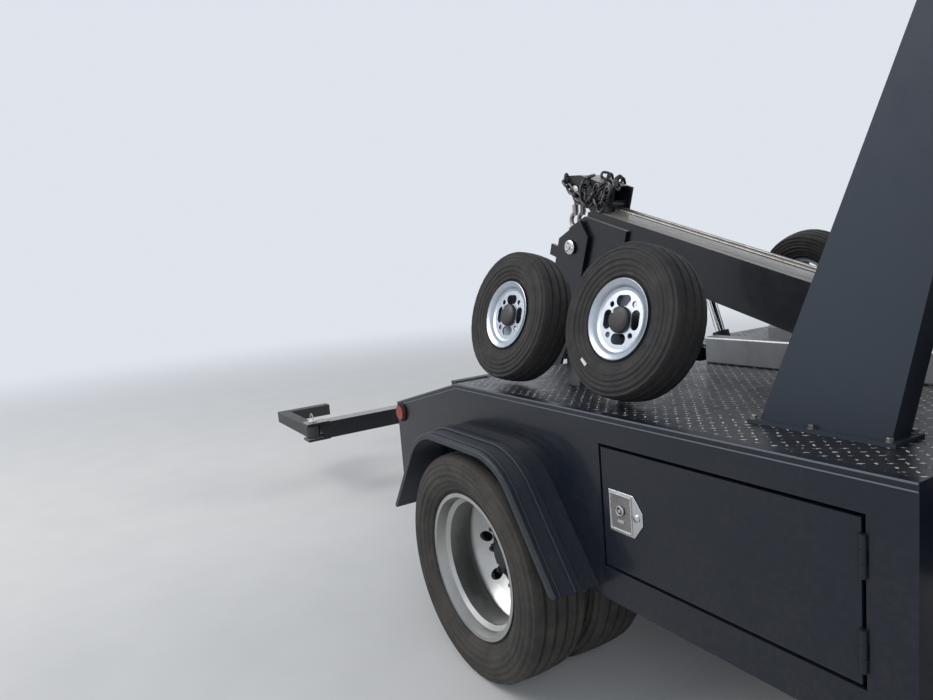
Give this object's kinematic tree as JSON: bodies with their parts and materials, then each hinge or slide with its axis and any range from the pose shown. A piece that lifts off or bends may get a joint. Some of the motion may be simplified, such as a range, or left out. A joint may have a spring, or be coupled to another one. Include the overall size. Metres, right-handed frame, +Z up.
{
  "type": "tow truck",
  "caption": "Light-duty tow truck with a two-door cab, steel deck with side toolboxes, telescoping boom, underlift and two pairs of stowed dolly wheels.",
  "frame": {"origin": "on the ground under the middle of the whole truck's length, on its centreline", "axes": "+X to the truck's front, +Y to the driver's left, +Z up"},
  "size_m": [7.7554, 2.58, 2.1552],
  "materials": {
    "beacon": "gloss",
    "black_paint": "gloss",
    "chassis_black": "satin",
    "chrome": "polished",
    "engine": "rough",
    "glass": "clear",
    "interior": "grained",
    "lamp": "clear",
    "polished_rim": "polished",
    "pylon_grey": "satin",
    "rope": "wire",
    "seat": "woven",
    "silver_rim": "satin",
    "steel": "ground",
    "tyre": "matt"
  },
  "bodies": {
    "chassis": {"frame_rails": "chassis_black", "front_axle": "chassis_black", "rear_axle": "chassis_black", "engine_block": "engine", "cab_shell": "black_paint", "cab_glass": "glass", "front_fenders": "black_paint", "grille": "interior", "headlamps": "lamp", "front_bumper": "chrome", "bench_seat": "seat", "dashboard": "interior", "body_shell": "black_paint", "deck": "black_paint", "fender_flares": "black_paint", "pylons": "pylon_grey", "light_bar": "beacon", "boom_foot": "chassis_black", "dolly_frames": "steel", "body_lamps": "black_paint"},
    "door_left": {"door_left": "black_paint", "door_glass_left": "glass"},
    "toolbox_door_left": {"toolbox_door_left": "black_paint"},
    "knuckle_left": {"knuckle_left": "chassis_black"},
    "front_wheel_left": {"front_tyre_left": "tyre", "front_rim_left": "polished_rim"},
    "rear_wheels_left": {"rear_tyres_left": "tyre", "rear_rims_left": "polished_rim"},
    "dolly_wheel_front_left": {"dolly_tyre_front_left": "tyre", "dolly_rim_front_left": "silver_rim"},
    "dolly_wheel_rear_left": {"dolly_tyre_rear_left": "tyre", "dolly_rim_rear_left": "silver_rim"},
    "l_arm_left": {"l_arm_left": "black_paint"},
    "door_right": {"door_right": "black_paint", "door_glass_right": "glass"},
    "toolbox_door_right": {"toolbox_door_right": "black_paint"},
    "knuckle_right": {"knuckle_right": "chassis_black"},
    "front_wheel_right": {"front_tyre_right": "tyre", "front_rim_right": "polished_rim"},
    "rear_wheels_right": {"rear_tyres_right": "tyre", "rear_rims_right": "polished_rim"},
    "dolly_wheel_front_right": {"dolly_tyre_front_right": "tyre", "dolly_rim_front_right": "silver_rim"},
    "dolly_wheel_rear_right": {"dolly_tyre_rear_right": "tyre", "dolly_rim_rear_right": "silver_rim"},
    "l_arm_right": {"l_arm_right": "black_paint"},
    "hood": {"hood": "black_paint"},
    "boom": {"boom_outer": "black_paint", "winches": "chassis_black", "winch_ropes": "rope"},
    "boom_extension": {"boom_inner": "black_paint", "tow_hooks": "steel"},
    "lift_barrels": {"lift_cylinder": "chassis_black"},
    "lift_rods": {"lift_rod": "chrome"},
    "lower_link": {"lower_link": "chassis_black"},
    "mast": {"mast": "black_paint"},
    "underlift_arm": {"underlift_arm": "black_paint"},
    "stinger": {"stinger": "chassis_black"},
    "crossbar": {"crossbar": "black_paint"}
  },
  "joints": [
    {"name": "door_left_hinge", "type": "hinge", "parent": "chassis", "child": "door_left", "pos_m": [2.3462, 1.013, 1.2], "axis": [0, 0, -1], "range_deg": [0, 70]},
    {"name": "toolbox_door_left_hinge", "type": "hinge", "parent": "chassis", "child": "toolbox_door_left", "pos_m": [0.5402, 1.033, 0.751], "axis": [0, 0, -1], "range_deg": [0, 100]},
    {"name": "steering_left", "type": "hinge", "parent": "chassis", "child": "knuckle_left", "pos_m": [2.9047, 0.77, 0.405], "axis": [0, 0, 1], "range_deg": [-35, 35]},
    {"name": "front_wheel_left_spin", "type": "hinge", "parent": "knuckle_left", "child": "front_wheel_left", "pos_m": [2.9047, 0.9, 0.405], "axis": [0, 1, 0], "continuous": true},
    {"name": "rear_wheels_left_spin", "type": "hinge", "parent": "chassis", "child": "rear_wheels_left", "pos_m": [-0.7783, 0.935, 0.405], "axis": [0, 1, 0], "continuous": true},
    {"name": "dolly_front_left_spin", "type": "hinge", "parent": "chassis", "child": "dolly_wheel_front_left", "pos_m": [-0.2163, 0.872, 1.258], "axis": [0, 0.9613, 0.2756], "continuous": true},
    {"name": "dolly_rear_left_spin", "type": "hinge", "parent": "chassis", "child": "dolly_wheel_rear_left", "pos_m": [-0.7763, 0.872, 1.258], "axis": [0, 0.9613, 0.2756], "continuous": true},
    {"name": "door_right_hinge", "type": "hinge", "parent": "chassis", "child": "door_right", "pos_m": [2.3462, -1.013, 1.2], "axis": [0, 0, 1], "range_deg": [0, 70]},
    {"name": "toolbox_door_right_hinge", "type": "hinge", "parent": "chassis", "child": "toolbox_door_right", "pos_m": [0.5402, -1.033, 0.751], "axis": [0, 0, 1], "range_deg": [0, 100]},
    {"name": "steering_right", "type": "hinge", "parent": "chassis", "child": "knuckle_right", "pos_m": [2.9047, -0.77, 0.405], "axis": [0, 0, 1], "range_deg": [-35, 35]},
    {"name": "front_wheel_right_spin", "type": "hinge", "parent": "knuckle_right", "child": "front_wheel_right", "pos_m": [2.9047, -0.9, 0.405], "axis": [0, 1, 0], "continuous": true},
    {"name": "rear_wheels_right_spin", "type": "hinge", "parent": "chassis", "child": "rear_wheels_right", "pos_m": [-0.7783, -0.935, 0.405], "axis": [0, 1, 0], "continuous": true},
    {"name": "dolly_front_right_spin", "type": "hinge", "parent": "chassis", "child": "dolly_wheel_front_right", "pos_m": [-0.2163, -0.872, 1.258], "axis": [0, -0.9613, 0.2756], "continuous": true},
    {"name": "dolly_rear_right_spin", "type": "hinge", "parent": "chassis", "child": "dolly_wheel_rear_right", "pos_m": [-0.7763, -0.872, 1.258], "axis": [0, -0.9613, 0.2756], "continuous": true},
    {"name": "hood_hinge", "type": "hinge", "parent": "chassis", "child": "hood", "pos_m": [2.5317, 0, 1.38], "axis": [0, -1, 0], "range_deg": [0, 55]},
    {"name": "boom_lift", "type": "hinge", "parent": "chassis", "child": "boom", "pos_m": [0.0917, 0, 1.122], "axis": [0, -1, 0], "range_deg": [-20, 11.5]},
    {"name": "boom_extend", "type": "slide", "parent": "boom", "child": "boom_extension", "axis": [0.9505, 0, -0.3107], "range_m": [-0.9, 0]},
    {"name": "mast_hinge", "type": "hinge", "parent": "boom", "child": "mast", "pos_m": [-1.35045, 0, 1.49605], "axis": [0, -1, 0], "range_deg": [-11.5, 20]},
    {"name": "lower_link_hinge", "type": "hinge", "parent": "chassis", "child": "lower_link", "pos_m": [-0.09658, 0, 0.5946], "axis": [0, -1, 0], "range_deg": [-20, 11.5]},
    {"name": "lift_barrel_hinge", "type": "hinge", "parent": "chassis", "child": "lift_barrels", "pos_m": [-0.5783, 0, 0.6], "axis": [0, -1, 0], "range_deg": [-12, 7]},
    {"name": "lift_rod_slide", "type": "slide", "parent": "lift_barrels", "child": "lift_rods", "axis": [-0.3067, 0, 0.9518], "range_m": [-0.158, 0.274]},
    {"name": "underlift_fold", "type": "hinge", "parent": "mast", "child": "underlift_arm", "pos_m": [-1.7297, 0, 0.43372], "axis": [0, 1, 0], "range_deg": [0, 90]},
    {"name": "stinger_slide", "type": "slide", "parent": "underlift_arm", "child": "stinger", "axis": [1, 0, 0], "range_m": [-0.15, 0.48]},
    {"name": "crossbar_swivel", "type": "hinge", "parent": "stinger", "child": "crossbar", "pos_m": [-3.1997, 0, 0.43372], "axis": [0, 0, 1], "range_deg": [-12, 12]},
    {"name": "l_arm_left_hinge", "type": "hinge", "parent": "crossbar", "child": "l_arm_left", "pos_m": [-3.1997, 0.9, 0.43372], "axis": [0, 0, -1], "range_deg": [0, 80]},
    {"name": "l_arm_right_hinge", "type": "hinge", "parent": "crossbar", "child": "l_arm_right", "pos_m": [-3.1997, -0.9, 0.43372], "axis": [0, 0, 1], "range_deg": [0, 80]}
  ],
  "couplings": [
    {"joint": "steering_right", "follows": "steering_left", "ratio": 1},
    {"joint": "mast_hinge", "follows": "boom_lift", "ratio": -1},
    {"joint": "lower_link_hinge", "follows": "boom_lift", "ratio": 1},
    {"joint": "lift_barrel_hinge", "follows": "boom_lift", "ratio": 0.5809},
    {"joint": "lift_rod_slide", "follows": "boom_lift", "m_per_rad": -0.7836}
  ]
}
